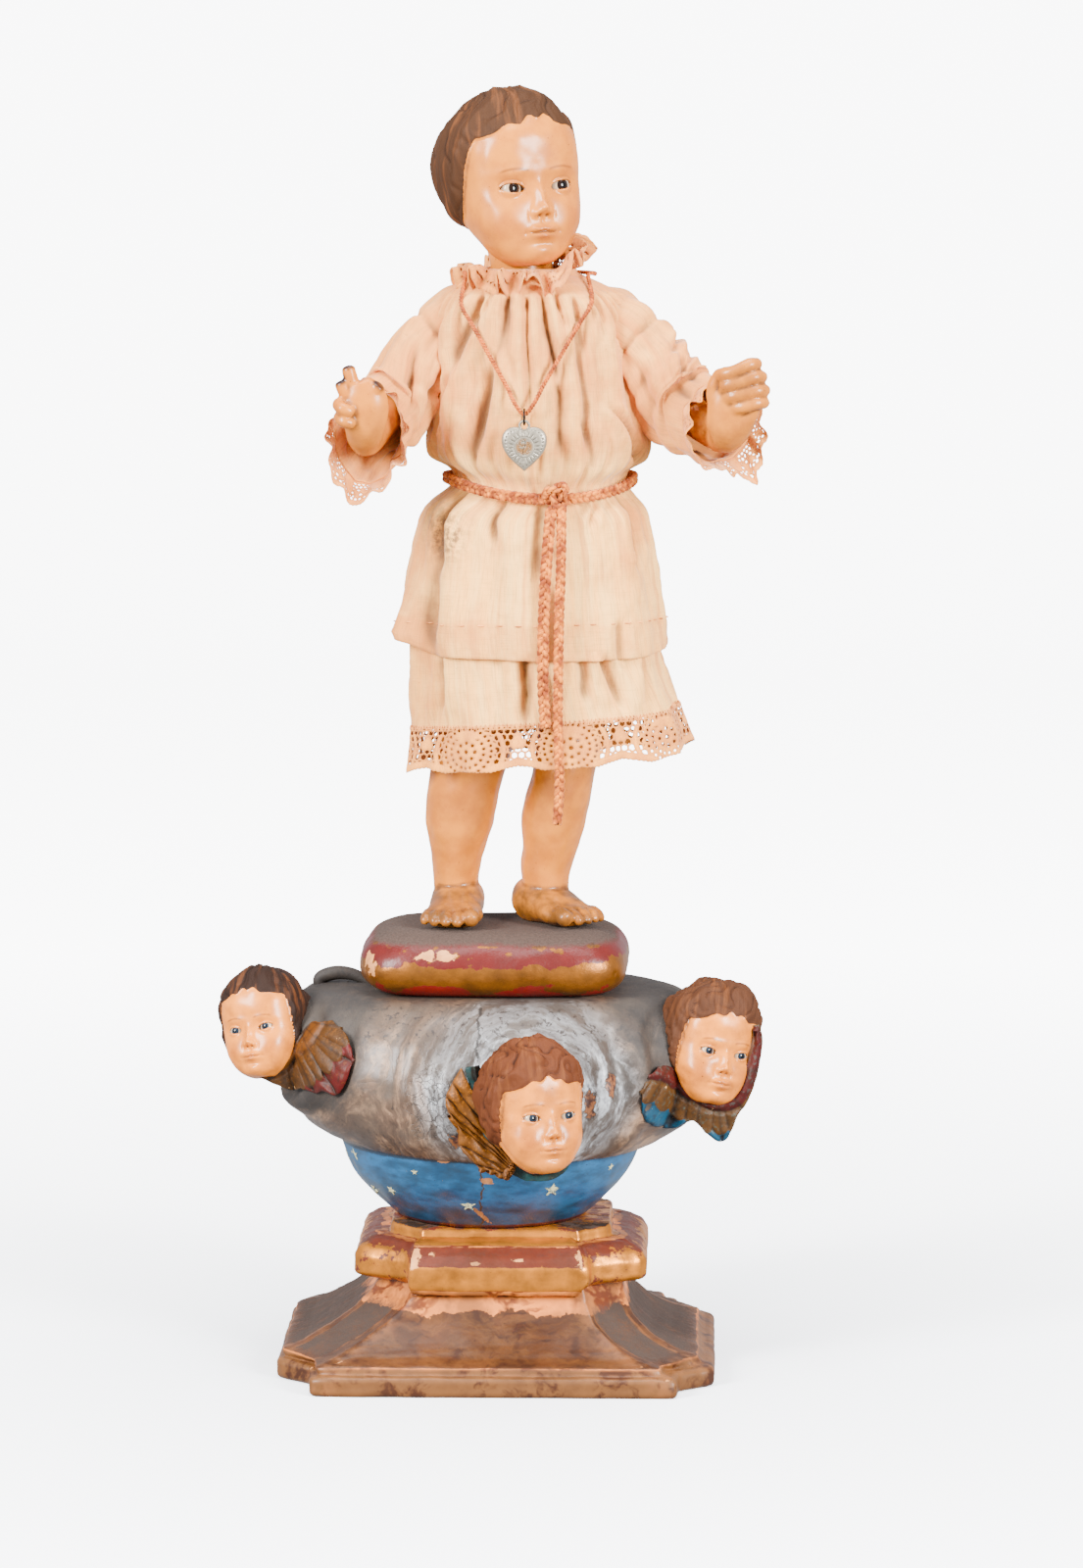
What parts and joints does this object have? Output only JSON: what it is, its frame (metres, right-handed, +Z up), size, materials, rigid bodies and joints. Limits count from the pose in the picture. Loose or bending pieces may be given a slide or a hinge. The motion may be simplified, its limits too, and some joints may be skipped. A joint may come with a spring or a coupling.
{
  "type": "devotional child figure statuette",
  "caption": "Carved and painted wooden child figure in a real cloth and lace tunic, standing on a gilt cushion over a cloud, a starry globe and a moulded pedestal.",
  "frame": {"origin": "centre of the pedestal's underside", "axes": "+Z up, -Y the way the figure faces, +X to the viewer's right"},
  "size_m": [0.2066, 0.1715, 0.4817],
  "materials": {
    "marbled_wood": "faux marble paint, worn at the edges",
    "cloud_paint": "white-grey paint, dusty; the globe below is blue with pale stars",
    "worn_gilding": "worn gilding over dark red bole",
    "flesh_paint": "satin flesh paint, brown hair",
    "eye_glass": "dark brown glass, glossy",
    "linen": "aged cream cloth with tan stains",
    "lace": "pink-beige net lace",
    "plaited_cord": "plaited orange and cream yarn",
    "silver": "worn silver, engraved, traces of gilding",
    "dark_iron": "dark wire"
  },
  "bodies": {
    "root": {"pedestal": "marbled_wood", "cloud_and_globe": "cloud_paint", "cherub_left": "flesh_paint", "cherub_front": "flesh_paint", "cherub_right": "flesh_paint", "cushion": "worn_gilding", "child_figure": "flesh_paint", "glass_eye_right": "eye_glass", "glass_eye_left": "eye_glass", "tunic": "linen", "hem_lace": "lace", "collar_lace": "lace", "cuff_lace_right": "lace", "cuff_lace_left": "lace", "girdle": "plaited_cord", "girdle_end_short": "plaited_cord", "girdle_end_long": "plaited_cord", "neck_cord": "plaited_cord", "heart_medal": "silver", "medal_ring": "dark_iron"}
  },
  "joints": []
}
